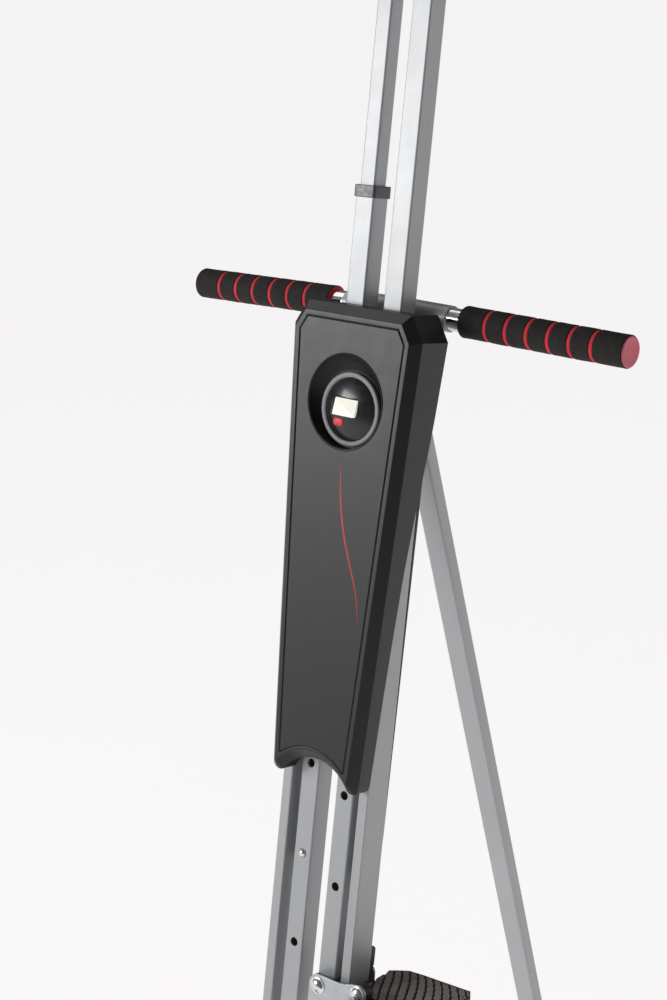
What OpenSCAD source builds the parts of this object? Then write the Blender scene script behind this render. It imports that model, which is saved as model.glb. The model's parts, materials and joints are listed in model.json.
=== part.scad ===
// Vertical climber: two moving posts with pedals and grips, guided by a leaning
// column that a folding rear leg holds up. Millimetres, +Z up, the user stands
// on the -Y side. The origin is the centre of the front foot pad's underside.

/* [Stance] */
// Lean of the column back from vertical, degrees
column_lean = 8.1; // [6:0.1:10]
// Lean of the rear leg from vertical, degrees
leg_lean = 17; // [16:0.5:18]
// Distance along the column from the floor to the fixed handlebar
handle_s = 1265; // [1240:5:1290]
// Length of the front and rear foot crossbars
foot_w = 520; // [440:10:600]

/* [Posts and rails] */
// Side of the square moving post
post_w = 25; // [24:0.5:26]
// Gap between the two moving posts
post_gap = 27; // [26:0.5:28]
// Width of a fixed rail
rail_w = 13.4; // [13:0.1:14]
// Depth of a fixed rail
rail_d = 35; // [34:0.5:36]
// Wall thickness of the steel tubes
wall = 1.5; // [1.2:0.1:2]
// Pitch of the height holes
hole_pitch = 106.6; // [100:0.2:110]
// Radius of the height holes
hole_r = 5; // [4.5:0.1:5.5]
// How much higher the right post stands than the left one
post_offset = 296.4; // [200:0.2:300]
// Side of the telescoping inner post
inner_w = 20; // [19:0.5:21]

/* [Handles] */
// Radius of the handle tubes
tube_r = 12.5; // [12:0.1:13]
// Radius of the foam grips
grip_r = 17.15; // [16:0.05:18]
// Distance from the middle to the inner end of a fixed grip
grip_in = 91; // [90:1:100]
// Distance from the middle to the outer end of a fixed grip
grip_out = 295; // [290:1:300]
// Droop of each half of the fixed handlebar towards its end, degrees
bar_droop = 1; // [0:0.1:1.5]
// Distance between two red rings
ring_pitch = 26.5; // [25:0.5:28]
// Height of the moving grips above the collars
top_handle_rise = 350; // [340:5:360]

/* [Covers] */
// Half width of the front cover's face at the top
cover_top_w = 78.6; // [76:0.2:80]
// Half width of the front cover's face at the bottom
cover_low_w = 52.5; // [51:0.5:54]
// Wall thickness of the covers
cover_wall = 2.5; // [2:0.1:3]
// Radius of the dish that holds the console
dish_r = 52; // [50:0.5:53]

/* [Hidden] */

$fn = 48;
GAP = 0.3;                                  // clearance between moving bodies
EPS = 0.01;

post_in = post_gap / 2;                     // inner face of a moving post, from the middle
post_x = post_in + post_w / 2;              // middle of a moving post
rail_in = 49;                               // inner face of a rail
rail_out = rail_in + rail_w;
rail_y0 = -3.5;                             // front face of the rails; the posts' is y = 0
rail_y1 = rail_y0 + rail_d;
mid_y = (rail_y0 + rail_y1) / 2;            // middle plane of the column

// Heights along the column, from the floor
collar_s = handle_s + 118;                  // underside of the left collar
carriage_s = handle_s - 745;                // right carriage
post_low_s = carriage_s - 75;               // lower end of the right post
button_s = handle_s - 619;                  // left snap button
rail_low_s = 44;
shoe_top = 40.9;
rail_top_s = handle_s - 14;
pulley_s = handle_s - 125;
pulley_r = post_x;                          // the belt hangs in line with the posts
belt_t = 2;
belt_w = 8;
pulley_y0 = 26;                             // front face of the pulley
pulley_t = 11;
belt_y = pulley_y0 + pulley_t / 2;          // middle plane of the belt
stroke_up = 45;                             // upward travel left to the right post

// Leg hinge, in the column's axes
hinge_y = 57.3;
hinge_s = handle_s - 45;
hinge_r = 5;
leg_w = 29;
leg_d = 16.5;
// Strut: its hinge in the column's axes, its cross pin in the leg's axes
strut_y = 62;
strut_s = 80;
strut_down = 1010;
strut_pin_r = 5;
pin_y = leg_d / 2 + strut_pin_r + 0.6;
slot_lean = 35;                             // direction in which the pin leaves its hooks
arm_in = 15.3;                              // inner face of a strut arm
arm_t = 4;

function sy(y, s) = (y - mid_y) * cos(column_lean) + s * sin(column_lean);
function sz(y, s) = -(y - mid_y) * sin(column_lean) + s * cos(column_lean);

hinge_wy = sy(hinge_y, hinge_s);
hinge_wz = sz(hinge_y, hinge_s);
foot_h = 30;                                // crossbar tube
foot_d = 50;
pad_t = 6;                                  // rubber under the crossbars
foot_top = pad_t + foot_h;
leg_l = (hinge_wz - foot_top) / cos(leg_lean) - 5;
pin_wy = hinge_wy + strut_down * sin(leg_lean) + pin_y * cos(leg_lean);
pin_wz = hinge_wz - strut_down * cos(leg_lean) + pin_y * sin(leg_lean);
strut_wy = sy(strut_y, strut_s);
strut_wz = sz(strut_y, strut_s);
strut_l = norm([pin_wy - strut_wy, pin_wz - strut_wz]);
strut_rise = atan2(pin_wz - strut_wz, pin_wy - strut_wy);

// Axes of the column: z runs up it, y = 0 is the posts' front face
module column() rotate([-column_lean, 0, 0]) translate([0, -mid_y, 0]) children();
// Axes of the rear leg: z runs up it, the origin is on its hinge
module leg_axes() translate([0, hinge_wy, hinge_wz]) rotate([leg_lean, 0, 0]) children();
// Axes of the strut: y runs back along it, the origin is on its hinge
module strut_axes() translate([0, strut_wy, strut_wz]) rotate([strut_rise, 0, 0]) children();
module both_sides() {
    children();
    mirror([1, 0, 0]) children();
}
// A block from one corner to the opposite one
module block(a, b) translate(a) cube(b - a);
module rod_x(r, x0, x1) translate([x0, 0, 0]) rotate([0, 90, 0]) cylinder(r = r, h = x1 - x0);
module rod_y(r, y0, y1) translate([0, y1, 0]) rotate([90, 0, 0]) cylinder(r = r, h = y1 - y0);
// Rectangular tube along z with rounded corners; x and y are its middle
module tube(w, d, t, z0, z1, r = 2) {
    translate([0, 0, z0]) linear_extrude(z1 - z0) difference() {
        rounded(w, d, r);
        rounded(w - 2 * t, d - 2 * t, max(r - t, 0.5));
    }
}
module rounded(w, d, r) {
    union() {
        square([w - 2 * r, d], center = true);
        square([w, d - 2 * r], center = true);
        for (x = [-1, 1], y = [-1, 1]) translate([x * (w / 2 - r), y * (d / 2 - r)]) circle(r, $fn = 24);
    }
}
// Low domed bolt head or nut on a face that looks towards -y
module dome_y(r, h) {
    ball = (r * r + h * h) / (2 * h);
    rotate([90, 0, 0]) rotate_extrude($fn = 32) intersection() {
        translate([0, h - ball]) circle(ball, $fn = 48);
        square([r, h]);
    }
}

// ---- Fixed column ----
rail_mid = (rail_in + rail_out) / 2;
rail_bolts = [62, 92, handle_s - 66, handle_s - 30];
bolt_r = 3;
module rail() {
    difference() {
        translate([rail_mid, mid_y, 0]) tube(rail_w, rail_d, wall, rail_low_s, rail_top_s, 1.5);
        for (s = rail_bolts) translate([rail_mid, 0, s]) rod_y(bolt_r, mid_y, rail_y1 + 1);
    }
}
module right_rail() color("silver") column() rail();
module left_rail() color("silver") column() mirror([1, 0, 0]) rail();

bracket_y0 = rail_y1;
bracket_y1 = bracket_y0 + 4;
ear_in = leg_w / 2 + 1;
ear_out = ear_in + 4;
module top_bracket() {
    color("silver") column() difference() {
        union() {
            block([-rail_out, bracket_y0, handle_s - 80], [rail_out, bracket_y1, handle_s - 16]);
            both_sides() {
                block([ear_in, bracket_y1 - EPS, handle_s - 62], [ear_out, hinge_y + 9, handle_s - 28]);
                block([38, bracket_y1 - EPS, handle_s - 46], [43, 60, handle_s - 4]);
            }
        }
        translate([0, hinge_y, hinge_s]) rod_x(hinge_r, -30, 30);
        bar_halves() rod_x(sleeve_r, 0, 60);
        both_sides() for (s = rail_bolts) {
            translate([rail_mid, 0, s]) rod_y(bolt_r, bracket_y0 - 1, bracket_y1 + 1);
        }
    }
}
lug_in = 9;
lug_out = 13.7;
module lower_bracket() {
    color("silver") {
        column() difference() {
            union() {
                block([-rail_out, bracket_y0, 40], [rail_out, bracket_y1, 104]);
                both_sides() translate([0, 0, strut_s]) {
                    block([lug_in, bracket_y1 - EPS, -14], [lug_out, strut_y + 9, 10]);
                }
            }
            translate([0, strut_y, strut_s]) rod_x(strut_pin_r, -30, 30);
            both_sides() for (s = rail_bolts) {
                translate([rail_mid, 0, s]) rod_y(bolt_r, bracket_y0 - 1, bracket_y1 + 1);
            }
        }
        // Shoe that the rails stand in, on the crossbar
        block([-rail_out - 4, -28, foot_top], [rail_out + 4, 34, shoe_top]);
        column() {
            block([-rail_out, rail_y0 - 4, 37], [rail_out, rail_y0, 78]);
            translate([0, 0, rail_low_s]) {
                block([-rail_in + 0.1, rail_y0 - EPS, -3], [rail_in - 0.1, rail_y1 + EPS, 0]);
            }
        }
    }
}
module crossbar(w) {
    translate([0, 0, pad_t + foot_h / 2]) rotate([90, 0, 90]) tube(foot_d, foot_h, 2, -w / 2, w / 2, 4);
}
module front_crossbar() color("silver") crossbar(foot_w);
// Cap over each end of a crossbar: a plug's flange with a foot under the tube
module foot_caps(w) {
    both_sides() difference() {
        translate([w / 2 - 34, 0, (foot_top + 4) / 2]) rotate([90, 0, 90]) linear_extrude(42) {
            rounded(foot_d + 8, foot_top + 4, 6);
        }
        translate([0, 0, pad_t + foot_h / 2]) rotate([90, 0, 90]) linear_extrude(w / 2) {
            rounded(foot_d, foot_h, 4);
        }
    }
}
module front_foot_caps() color("#202020") foot_caps(foot_w);
module front_foot_pad() color("#202020") block([-60, -25, 0], [60, 25, pad_t]);
module frame_bolts() {
    color("gainsboro") column() both_sides() for (s = rail_bolts) translate([rail_mid, bracket_y1, s]) {
        mirror([0, 1, 0]) dome_y(5.5, 3.2);
        rod_y(bolt_r, -4 - wall - 2, 0.5);
    }
}

sleeve_r = 14.3;
bar_y = 46.4;
// Both halves of the handlebar, each drawn along x
module bar_halves() both_sides() translate([0, bar_y, handle_s]) rotate([0, bar_droop, 0]) children();
module cross_tube() {
    color("silver") column() both_sides() translate([0, bar_y, handle_s]) intersection() {
        rotate([0, bar_droop, 0]) difference() {
            rod_x(sleeve_r, -2, 72);
            rod_x(tube_r, -3, 73);
        }
        block([0, -20, -20], [80, 20, 20]);
    }
}
module handlebars() {
    color("gainsboro") column() bar_halves() difference() {
        rod_x(tube_r, 20, grip_out - 4);
        rod_x(tube_r - wall, 19, grip_out);
    }
}
grip_mid = (grip_in + grip_out) / 2 - 1;
ring_w = 4;
core_r = 14.8;
module ring_places() for (i = [-2.5:1:2.5]) translate([grip_mid + i * ring_pitch, 0, 0]) children();
// Red inner foam, which shows in the ring grooves and at the open end
module grip_core() {
    difference() {
        union() {
            rod_x(core_r, grip_in + 2, grip_out);
            rod_x(grip_r - 1, grip_in, grip_in + 2);
            ring_places() rod_x(grip_r - 0.6, -ring_w / 2, ring_w / 2);
        }
        rod_x(tube_r, 0, grip_out - 4);
        rod_x(tube_r - wall, 0, grip_out + 1);
    }
}
// Black outer foam in seven lengths, with slightly bevelled ends
module grip_foam() {
    edge = 1;
    long = grip_out - grip_in;
    difference() {
        translate([grip_in, 0, 0]) rotate([90, 0, 90]) rotate_extrude() polygon([
            [0, 0], [grip_r - edge, 0], [grip_r, edge], [grip_r, long - edge], [grip_r - edge, long], [0, long]
        ]);
        rod_x(core_r, grip_in + 2, grip_out + 1);
        rod_x(grip_r - 1, grip_in - 1, grip_in + 2 + EPS);
        ring_places() rod_x(grip_r + 1, -ring_w / 2, ring_w / 2);
    }
}
module bar_plug() {
    rod_x(tube_r - wall, grip_out - 18, grip_out + 0.5);
    rod_x(grip_r - 1, grip_out, grip_out + 1.2);
}
module grip_cores() color("#c9303c") column() bar_halves() grip_core();
module grip_foams() color("#2c2c2c") column() bar_halves() grip_foam();
module handlebar_plugs() color("#d8505c") column() bar_halves() bar_plug();

// Nylon blocks that guide the posts at the column's top
module upper_guides() {
    color("#303030") column() both_sides() difference() {
        block([9, rail_y0 + 0.5, handle_s - 70], [rail_in, rail_y1 - 1, handle_s - 26]);
        block([post_in - GAP, -GAP, handle_s - 80], [post_in + post_w + GAP, post_w + GAP, handle_s]);
    }
}
// Rubber stops that a post's lower end meets at the end of its travel
module post_stops() {
    stop_h = post_low_s - post_offset - stroke_up - rail_low_s - GAP;
    color("#202020") column() both_sides() {
        translate([post_x, post_w / 2, rail_low_s]) cylinder(r = 10, h = stop_h);
    }
}

// ---- Covers ----
face_y = -32;
bevel = 10;
face_top = handle_s - 6.8;
face_corner = handle_s - 26.4;
face_low = handle_s - 511;
// Outline of the face moved out by grow, with lower corners that are round outside it
module face_outline(grow) {
    corner_r = max(grow, 0.5);
    corner = [cover_low_w + grow - corner_r, face_low - grow + corner_r];
    right = [for (a = [0:-15:-90]) corner + corner_r * [cos(a), sin(a)]];
    polygon(concat(
        [[-66.5 - grow * 0.8, face_top + grow], [66.5 + grow * 0.8, face_top + grow]],
        [[cover_top_w + grow, face_corner + grow * 0.6]], right,
        [for (i = [len(right) - 1:-1:0]) [-right[i].x, right[i].y]],
        [[-cover_top_w - grow, face_corner + grow * 0.6]]
    ));
}
module face_slab(y, grow) translate([0, y, 0]) rotate([90, 0, 0]) linear_extrude(0.02) face_outline(grow);
// Body of the front cover, shrunk by inset for its hollow
module cover_body(inset) {
    hull() {
        face_slab(face_y + inset, -inset);
        face_slab(face_y + bevel, bevel - inset);
        face_slab(rail_y1, bevel - inset);
    }
}
// Arch in the cover's lower edge, wider at the face
arch_r = 56.6;
arch_s = handle_s - 552.9;
module arch(grow) {
    translate([0, 0, arch_s]) {
        rod_y(arch_r + grow, face_y - 5, rail_y1 + 1);
        translate([0, face_y + bevel, 0]) rotate([90, 0, 0]) {
            cylinder(r1 = arch_r + grow, r2 = arch_r + grow + bevel + 1, h = bevel + 1);
        }
    }
}
dish_s = handle_s - 98.5;
// Rear edge of the front cover: depth, and height from the handlebar
cover_edge = [
    [21.5, -26], [17.5, -115], [14.5, -152], [11.3, -174], [8.3, -215], [3.6, -275], [1.5, -335],
    [-0.3, -395], [-3.4, -620]
];
module front_cover() {
    color("#303030") column() difference() {
        cover_body(0);
        difference() {
            cover_body(cover_wall);
            arch(cover_wall);
        }
        arch(0);
        // Open top round the posts, and everything behind the rear edge
        block([-64, -3, handle_s - 60], [64, 60, handle_s + 20]);
        rotate([90, 0, 90]) linear_extrude(200, center = true) polygon(concat(
            [[80, face_low - 100], [80, handle_s + 50], [cover_edge[0].x, handle_s + 50]],
            [for (p = cover_edge) [p.x, handle_s + p.y]]
        ));
        block([-rail_out - 0.5, rail_y0 - 0.4, 0], [rail_out + 0.5, 60, handle_s - 26]);
        bowl(dish_r, bowl_back_r + bowl_t, bowl_depth + bowl_t, 1);
        groove();
    }
}
// Shallow line that follows the face outline
module groove() {
    translate([0, face_y + 0.8, 0]) rotate([90, 0, 0]) linear_extrude(2) difference() {
        groove_area(5.6);
        groove_area(7.2);
    }
}
module groove_area(inset) {
    difference() {
        face_outline(-inset);
        translate([0, arch_s]) circle(arch_r + bevel + 0.6 * inset, $fn = 96);
    }
}
// Solid of the bowl that the console sits in: round at the face and round at its back,
// where its middle is the console's; front carries it past the face
bowl_t = 2.4;
bowl_depth = 12;
bowl_back_r = 42;
console_s = handle_s - 106.5;
module bowl(r, back_r, depth, front) {
    hull($fn = 72) {
        translate([0, 0, dish_s]) rod_y(r, face_y - front, face_y + 0.4);
        translate([1, 0, console_s]) rod_y(back_r, face_y + depth - 0.4, face_y + depth);
    }
}
module console_dish() {
    color("#262626") column() difference() {
        bowl(dish_r, bowl_back_r + bowl_t, bowl_depth + bowl_t, 0);
        bowl(dish_r - 1.2, bowl_back_r, bowl_depth, 1);
        translate([1, 0, console_s]) rod_y(30, face_y, 20);
    }
}
cover_back = 14;
cover_screw_x = rail_in + 0.8;
cover_top_s = handle_s - 84;
cover_low_s = handle_s - 640;
cover_low_t = 2.6;
module rear_cover_side(inset) {
    front = rail_y1 + (inset > 0 ? -1 : 0.02);
    low_y = rail_y1 + (inset > 0 ? 0.2 : cover_low_t);
    back = rail_y1 + cover_back - inset;
    rotate([90, 0, 90]) linear_extrude(2 * rail_out - 1 - 2 * inset, center = true) polygon([
        [front, cover_top_s - inset], [back, cover_top_s - inset], [back, handle_s - 280],
        [low_y, cover_low_s + inset], [front, cover_low_s + inset]
    ]);
}
// The rear cover's solid with its side edges cut off at 45 degrees, shrunk by inset
module rear_cover_body(inset) {
    difference() {
        rear_cover_side(inset);
        both_sides() translate([rail_out - 0.5, rail_y1 + 4.7, handle_s - 220]) rotate([-0.74, 0, 0]) {
            rotate([0, 0, -45]) block([-60, -inset, -600], [60, 60, 300]);
        }
    }
}
module rear_cover() {
    color("#282828") column() difference() {
        rear_cover_body(0);
        difference() {
            rear_cover_body(2);
            both_sides() translate([cover_screw_x, 0, handle_s - 150]) rod_y(4, 0, 80);
            both_sides() translate([cover_screw_x, 0, handle_s - 560]) rod_y(4, 0, 80);
        }
        // Notch that the belts come out of
        block([-34, rail_y1 - 2, cover_low_s - 20], [34, rail_y1 + 20, handle_s - 495]);
    }
}
module cover_screws() {
    slant = atan((cover_back - cover_low_t) / 360);
    low_y = rail_y1 + cover_low_t + 80 * tan(slant);
    color("gainsboro") column() both_sides() {
        translate([cover_screw_x, rail_y1 + cover_back, handle_s - 150]) {
            mirror([0, 1, 0]) dome_y(3.5, 1.6);
        }
        translate([cover_screw_x, low_y, handle_s - 560]) rotate([-slant, 0, 0]) {
            mirror([0, 1, 0]) dome_y(3.5, 1.6);
        }
    }
}

// ---- Drive ----
bracket_back = rail_y1 + 10;
module pulley_bracket() {
    color("silver") column() difference() {
        union() {
            block([-52, rail_y1 + 7, pulley_s - 14], [52, bracket_back, pulley_s + 14]);
            both_sides() translate([0, rail_y1, pulley_s]) {
                block([rail_in + 0.5, 0, -14], [52, 7.5, 14]);
            }
        }
        translate([0, 0, pulley_s]) rod_y(4, 20, 60);
    }
}
module pulley_axle() {
    color("gainsboro") column() translate([0, 0, pulley_s]) {
        rod_y(4, pulley_y0 - 0.3, bracket_back);
        translate([0, pulley_y0 - 0.3, 0]) dome_y(6.5, 2);
        translate([0, bracket_back, 0]) mirror([0, 1, 0]) dome_y(6, 1.5);
    }
}
module pulley() {
    seat_r = pulley_r - belt_t / 2 - 0.05;
    flange_r = pulley_r + 3.5;
    color("#404040") column() translate([0, pulley_y0 + pulley_t, pulley_s]) rotate([90, 0, 0]) difference() {
        rotate_extrude($fn = 96) polygon([
            [4.05, 0], [flange_r, 0], [flange_r, 0.8], [seat_r, 1.1],
            [seat_r, pulley_t - 1.1], [flange_r, pulley_t - 0.8], [flange_r, pulley_t], [4.05, pulley_t]
        ]);
        for (a = [0:60:300]) rotate([0, 0, a]) translate([16, 0, -1]) {
            cylinder(r = 4, h = pulley_t + 2, $fn = 24);
        }
    }
}
// Length of belt that lies over the pulley
module pulley_belt() {
    color("#181818") column() translate([0, belt_y, pulley_s]) rotate([90, 0, 0]) intersection() {
        difference() {
            cylinder(r = pulley_r + belt_t / 2, h = belt_w, center = true, $fn = 96);
            cylinder(r = pulley_r - belt_t / 2, h = 2 * belt_w, center = true, $fn = 96);
        }
        translate([0, 50, 0]) cube([100, 100, 40], center = true);
    }
}
module stroke_sensor() {
    color("#202020") column() translate([0, rail_y1 + 7, pulley_s - 24]) block([-9, 0, -10], [9, 4, 10]);
}

// ---- Console ----
module at_console() column() translate([1, 0, console_s]) children();
// Turned piece on the bowl's floor
module on_bowl_floor() {
    translate([0, face_y + bowl_depth, 0]) rotate([90, 0, 0]) rotate_extrude($fn = 72) children();
}
module console_ring() {
    color("#77777a") at_console() on_bowl_floor() {
        polygon([[33.5, 0], [39, 0], [39, 2], [36.5, 4], [33.5, 3.5]]);
    }
}
case_r = 33.4;
// Oval key under the display: its place, and its shape grown all round
module key_place() translate([-10, 0, -14.5]) children();
module key(grow, y0, y1) {
    translate([0, y1, 0]) rotate([90, 0, 0]) linear_extrude(y1 - y0) {
        rounded(14.4 + 2 * grow, 9.2 + 2 * grow, 4 + grow);
    }
}
module console_case() {
    color("#101010") at_console() difference() {
        union() {
            on_bowl_floor() intersection() {
                translate([0, -48]) circle(58, $fn = 96);
                square([case_r, 12]);
            }
            rod_y(29.8, face_y + bowl_depth - 0.1, face_y + 30);
        }
        block([-16.5, face_y - 3, -7], [14.5, face_y + 8, 12]);
        rod_y(27, face_y + 15, face_y + 28);
        key_place() key(GAP, face_y - 2, face_y + 14);
    }
}
module console_lcd() color("#d9d6c4") at_console() block([-16.5, face_y + 5, -7], [14.5, face_y + 8, 12]);
module console_button() color("#c8202c") at_console() key_place() key(0, face_y + 3.6, face_y + 12);
module console_board() color("seagreen") at_console() block([-20, face_y + 15, -14], [20, face_y + 16.6, 14]);
module console_battery() {
    color("gold") at_console() rod_y(10, face_y + 16.6, face_y + 20.6);
}

// ---- Moving posts; everything is drawn for the right one, and turned for the left ----
module hole_rows(first, last) {
    for (i = [first:last]) translate([post_x, 0, button_s + post_offset + i * hole_pitch]) children();
}
module post_tube() {
    difference() {
        translate([post_x, post_w / 2, 0]) tube(post_w, post_w, wall, post_low_s, collar_s + post_offset, 2);
        hole_rows(-3, 3) rod_y(hole_r, -1, wall + 1);
        at_bolts(post_bolts) rod_y(shank_r, -1, post_w + 1);
    }
}
module post_collar() {
    bore_w = inner_w + 2 * GAP;
    translate([post_x, post_w / 2, collar_s + post_offset]) difference() {
        translate([0, 0, -1]) linear_extrude(13) rounded(post_w + 4, post_w + 4, 3);
        translate([0, 0, -2]) linear_extrude(2 + EPS) rounded(post_w, post_w, 2);
        translate([0, 0, -5]) linear_extrude(30) rounded(bore_w, bore_w, 2);
    }
}
// Bolts of the carriage: x, and height from the handlebar
post_bolts = [[post_x, -756], [post_x, -806]];
arm_bolt = [83, -800];
hub_bolt = [83, -746.5];                    // short bolt into the pedal arm's hub
keeper_bolt = [55, -743];                   // short bolt behind the rail
through_bolts = concat(post_bolts, [arm_bolt]);
shank_r = 3.5;
hub_y1 = 2;
plate_y0 = -14;
plate_t = 3;
plate_y1 = 42;
module at_bolts(bolts) for (p = bolts) translate([p.x, 0, handle_s + p.y]) children();
module front_plate_outline() {
    for (p = post_bolts) translate(p) circle(12.8);
    translate(hub_bolt) circle(10.5);
    translate(arm_bolt) circle(10.5);
    polygon([
        [post_x - 12.8, -756], [post_x, -743.2], [48, -743.2], [62, -742], [73, -738.2], [83, -736],
        [93.5, -746.5], [93.5, -800], [83, -810.5], [post_x, -818.8], [post_x - 12.8, -806]
    ]);
}
module rear_plate_outline() {
    for (p = post_bolts) translate(p) circle(12.8);
    translate(keeper_bolt) circle(7.5);
    translate(arm_bolt) circle(10.5);
    polygon([
        [post_x - 12.8, -756], [post_x, -743.2], [46, -740], [55, -735.5], [62.5, -743], [64, -768],
        [82, -776], [93.5, -790], [93.5, -800], [83, -810.5], [post_x, -818.8], [post_x - 12.8, -806]
    ]);
}
module plate(y, bolts) {
    difference() {
        translate([0, y + plate_t, handle_s]) rotate([90, 0, 0]) linear_extrude(plate_t) children();
        at_bolts(bolts) rod_y(shank_r, y - 1, y + plate_t + 1);
    }
}
module carriage() {
    plate(plate_y0, concat(through_bolts, [hub_bolt])) front_plate_outline();
    plate(plate_y1 - plate_t, concat(through_bolts, [keeper_bolt])) rear_plate_outline();
}
module carriage_bolt_set() {
    at_bolts(concat(through_bolts, [hub_bolt])) translate([0, plate_y0, 0]) {
        dome_y(9, 5);
        rod_y(9.8, -1, 0);
    }
    at_bolts(through_bolts) rod_y(shank_r, plate_y0, plate_y1);
    at_bolts([hub_bolt]) rod_y(shank_r, plate_y0, hub_y1 - 3);
    at_bolts([keeper_bolt]) rod_y(shank_r, plate_y1 - 6, plate_y1);
    at_bolts(concat(through_bolts, [keeper_bolt])) translate([0, plate_y1, 0]) {
        mirror([0, 1, 0]) dome_y(5.5, 4.5);
    }
}
// Nylon block that holds the post and slides on the rail, with a keeper behind the rail
slider_x1 = 72;
slider_s = handle_s - 748;
slider_h = 67;
keeper_r = 5;
slab_s = handle_s - 761.5;                  // lowest level of the pedal over the slider and the arm
module slider() {
    difference() {
        union() {
            block(
                [post_in + 0.5, plate_y0 + plate_t, slider_s - slider_h],
                [slider_x1, plate_y1 - plate_t, slider_s]
            );
            translate([0, rail_y1 + GAP, slider_s]) {
                block([44, 0, -1], [62, plate_y1 - plate_t - rail_y1 - GAP, 13]);
                block([46, 0, 12.8], [60, 2 * keeper_r, 32]);
                translate([0, keeper_r, 32]) rod_x(keeper_r, 46, 60);
            }
        }
        translate([0, 0, slider_s]) {
            block([post_in - 1, 0, -slider_h - 1], [post_in + post_w, post_w, 1]);
            block([rail_in - GAP, rail_y0 - GAP, -slider_h - 1], [rail_out + GAP, rail_y1 + GAP, 1]);
        }
        block([65.4, plate_y0, slab_s - GAP], [slider_x1 + 1, plate_y1, slider_s + 1]);
        at_bolts(concat(post_bolts, [keeper_bolt])) rod_y(shank_r, -20, 50);
    }
}
// Level axes of a pedal: the origin is in the column's middle plane
module pedal_axes() translate([0, mid_y, carriage_s]) rotate([column_lean, 0, 0]) children();
pedal_top = -6;
pedal_t = 26;
pedal_x0 = 66;
pedal_x1 = 168;
groove_pitch = 11.5;
arm_x = slider_x1 + 20;
arm_top = slab_s - GAP;
module pedal_arm() {
    difference() {
        union() {
            block([slider_x1, plate_y0 + plate_t, handle_s - 812], [arm_x, plate_y1 - plate_t, arm_top]);
            block([hub_bolt.x - 9, plate_y0 + plate_t, arm_top - 1], [arm_x, hub_y1, handle_s + hub_bolt.y]);
            at_bolts([hub_bolt]) rod_y(10, plate_y0 + plate_t, hub_y1);
            pedal_axes() block([arm_x - 8, -16, pedal_top - pedal_t - 20], [156, 15, pedal_top - pedal_t]);
        }
        at_bolts([arm_bolt]) rod_y(shank_r, -20, 50);
        at_bolts([hub_bolt]) rod_y(shank_r, -20, hub_y1 - 3);
    }
}
module pedal_outline() {
    polygon([
        [pedal_x0, -206], [pedal_x0 + 14, -216], [pedal_x1 - 12, -216], [pedal_x1, -204], [pedal_x1, 66],
        [164, 71.5], [137, 68], [104, 63], [92, 58], [74, 44], [pedal_x0, 40]
    ]);
}
module pedal_block() {
    difference() {
        union() {
            translate([0, 0, pedal_top - pedal_t]) linear_extrude(pedal_t - 1) pedal_outline();
            translate([0, 0, pedal_top - 4]) linear_extrude(4) offset(delta = -1.5) pedal_outline();
        }
        // Slanted grooves
        for (x = [pedal_x0 - 126:groove_pitch:pedal_x1 + 42]) translate([x, 0, pedal_top]) {
            rotate([0, 0, 37]) block([-1, -280, -1.4], [1, 100, 1]);
        }
        // Room for the front plate with its bolts and hub, and for the arm under the slab
        rotate([-column_lean, 0, 0]) translate([0, -mid_y, 0]) {
            block([0, plate_y0 - 7.5, -150], [94.6, hub_y1 + 1, 150]);
            block([0, hub_y1, -150], [94.6, plate_y1 + 6.5, slab_s - carriage_s]);
        }
    }
}
module belt_strand() {
    translate([post_x, belt_y, 0]) block(
        [-belt_t / 2, -belt_w / 2, slider_s], [belt_t / 2, belt_w / 2, pulley_s - stroke_up]
    );
}
module snap_button() {
    translate([post_x, 0, button_s + post_offset]) {
        rod_y(hole_r - GAP, -1, 4);
        translate([0, -1, 0]) dome_y(hole_r - GAP, 2.2);
        rod_y(7.5, wall + GAP, 4.6);
    }
}
inner_low_s = button_s + 9;
top_s = collar_s + top_handle_rise;
module inner_post() {
    difference() {
        translate([post_x, post_w / 2, post_offset]) tube(inner_w, inner_w, wall, inner_low_s, top_s, 2);
        for (i = [1, 2]) translate([post_x, 0, button_s + post_offset + i * hole_pitch]) rod_y(hole_r, -1, 5);
        translate([0, post_w / 2, top_s + post_offset]) rod_x(tube_r, 0, post_x + inner_w);
    }
}
module top_bar() {
    translate([0, post_w / 2, top_s + post_offset]) difference() {
        rod_x(tube_r, post_in + 1, post_x + 170);
        rod_x(tube_r - wall, post_in, post_x + 180);
    }
}
module top_grip() {
    translate([0, post_w / 2, top_s + post_offset]) difference() {
        translate([post_x + 22, 0, 0]) rotate([90, 0, 90]) rotate_extrude() polygon([
            [0, 0], [grip_r - 3, 0], [grip_r, 3], [grip_r, 149], [grip_r - 3, 152], [0, 152]
        ]);
        rod_x(tube_r, 0, post_x + 170);
    }
}

// Places a right-hand piece on its own side
module on_right() column() children();
module on_left() column() mirror([1, 0, 0]) translate([0, 0, -post_offset]) children();

module right_post() color("silver") on_right() post_tube();
module right_collar() color("#484848") on_right() post_collar();
module right_carriage() color("lightgray") on_right() carriage();
module right_carriage_bolts() color("gainsboro") on_right() carriage_bolt_set();
module right_slider() color("#202020") on_right() slider();
module right_pedal_arm() color("#242424") on_right() pedal_arm();
module right_pedal() color("#6e6966") on_right() pedal_axes() pedal_block();
module right_belt() color("#181818") on_right() belt_strand();
module right_snap_button() color("white") on_right() snap_button();
module right_inner_post() color("silver") on_right() inner_post();
module right_top_handle() color("silver") on_right() top_bar();
module right_top_grip() color("#2c2c2c") on_right() top_grip();
module left_post() color("silver") on_left() post_tube();
module left_collar() color("#484848") on_left() post_collar();
module left_carriage() color("lightgray") on_left() carriage();
module left_carriage_bolts() color("gainsboro") on_left() carriage_bolt_set();
module left_slider() color("#202020") on_left() slider();
module left_pedal_arm() color("#242424") on_left() pedal_arm();
module left_pedal() color("#6e6966") on_left() pedal_axes() pedal_block();
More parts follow.
